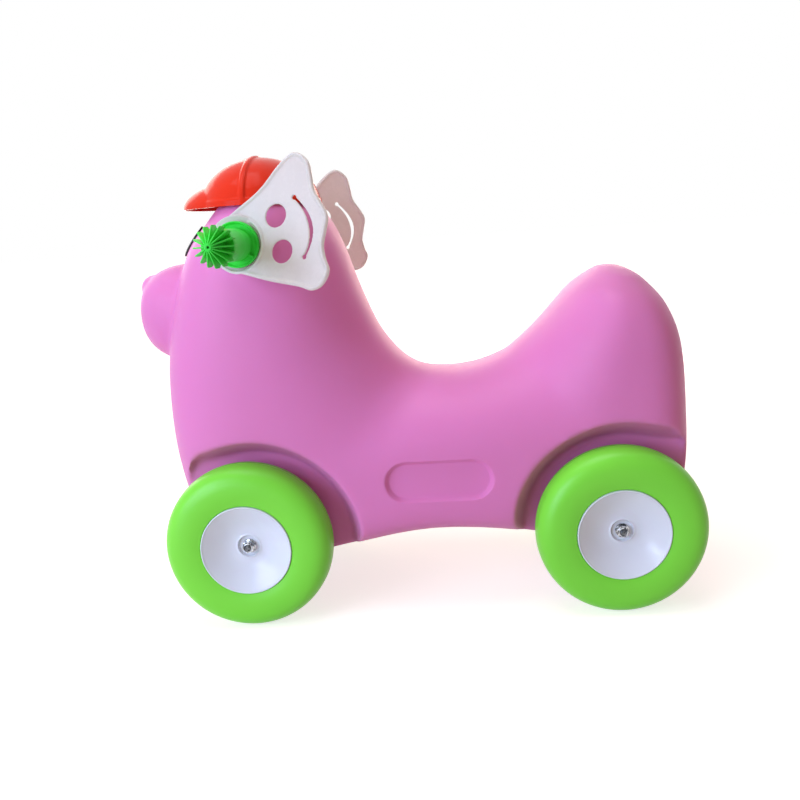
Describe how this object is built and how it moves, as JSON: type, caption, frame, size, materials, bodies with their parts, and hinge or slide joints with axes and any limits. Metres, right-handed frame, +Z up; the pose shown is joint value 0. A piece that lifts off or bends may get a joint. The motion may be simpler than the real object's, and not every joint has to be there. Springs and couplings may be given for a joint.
{
  "type": "ride-on dog toy",
  "caption": "Moulded ride-on dog with a saddle seat, hand grips through the head, wavy ears, a peaked cap and free-turning wheels.",
  "frame": {"origin": "on the floor under the middle of the toy's length and width", "axes": "+Z up, -Y the way the dog faces, +X the dog's left side"},
  "size_m": [0.5286, 0.6758, 0.5492],
  "materials": {
    "body_pink": "satin moulded polyethylene, pink",
    "tyre_green": "satin moulded plastic, lime green",
    "hub_white": "glossy bluish white plastic",
    "ear_white": "semi-gloss white plastic",
    "cap_red": "glossy red plastic",
    "grip_green": "satin green plastic",
    "eye_black": "gloss black plastic",
    "zinc_steel": "bright zinc plate",
    "nylon": "natural nylon"
  },
  "bodies": {
    "chassis": {"body": "body_pink", "cap": "cap_red", "handlebar": "zinc_steel", "eye_left": "eye_black", "cap_screw_left": "zinc_steel", "ear_left": "ear_white", "grip_left": "grip_green", "grip_nut_left": "zinc_steel", "eye_right": "eye_black", "cap_screw_right": "zinc_steel", "ear_right": "ear_white", "grip_right": "grip_green", "grip_nut_right": "zinc_steel", "front_axle": "zinc_steel", "rear_axle": "zinc_steel", "axle_bush_front_left": "nylon", "washer_front_left": "zinc_steel", "axle_nut_front_left": "zinc_steel", "axle_bush_front_right": "nylon", "washer_front_right": "zinc_steel", "axle_nut_front_right": "zinc_steel", "axle_bush_rear_left": "nylon", "washer_rear_left": "zinc_steel", "axle_nut_rear_left": "zinc_steel", "axle_bush_rear_right": "nylon", "washer_rear_right": "zinc_steel", "axle_nut_rear_right": "zinc_steel"},
    "wheel_front_left": {"tyre_front_left": "tyre_green", "hub_outer_front_left": "hub_white", "hub_inner_front_left": "hub_white", "wheel_bush_front_left": "nylon"},
    "wheel_front_right": {"tyre_front_right": "tyre_green", "hub_outer_front_right": "hub_white", "hub_inner_front_right": "hub_white", "wheel_bush_front_right": "nylon"},
    "wheel_rear_left": {"tyre_rear_left": "tyre_green", "hub_outer_rear_left": "hub_white", "hub_inner_rear_left": "hub_white", "wheel_bush_rear_left": "nylon"},
    "wheel_rear_right": {"tyre_rear_right": "tyre_green", "hub_outer_rear_right": "hub_white", "hub_inner_rear_right": "hub_white", "wheel_bush_rear_right": "nylon"}
  },
  "joints": [
    {"name": "front_left_wheel_spin", "type": "hinge", "parent": "chassis", "child": "wheel_front_left", "pos_m": [0.1265, -0.19894, 0.09937], "axis": [1, 0, 0], "continuous": true},
    {"name": "front_right_wheel_spin", "type": "hinge", "parent": "chassis", "child": "wheel_front_right", "pos_m": [-0.1265, -0.19894, 0.09937], "axis": [1, 0, 0], "continuous": true},
    {"name": "rear_left_wheel_spin", "type": "hinge", "parent": "chassis", "child": "wheel_rear_left", "pos_m": [0.1265, 0.23856, 0.09937], "axis": [1, 0, 0], "continuous": true},
    {"name": "rear_right_wheel_spin", "type": "hinge", "parent": "chassis", "child": "wheel_rear_right", "pos_m": [-0.1265, 0.23856, 0.09937], "axis": [1, 0, 0], "continuous": true}
  ]
}
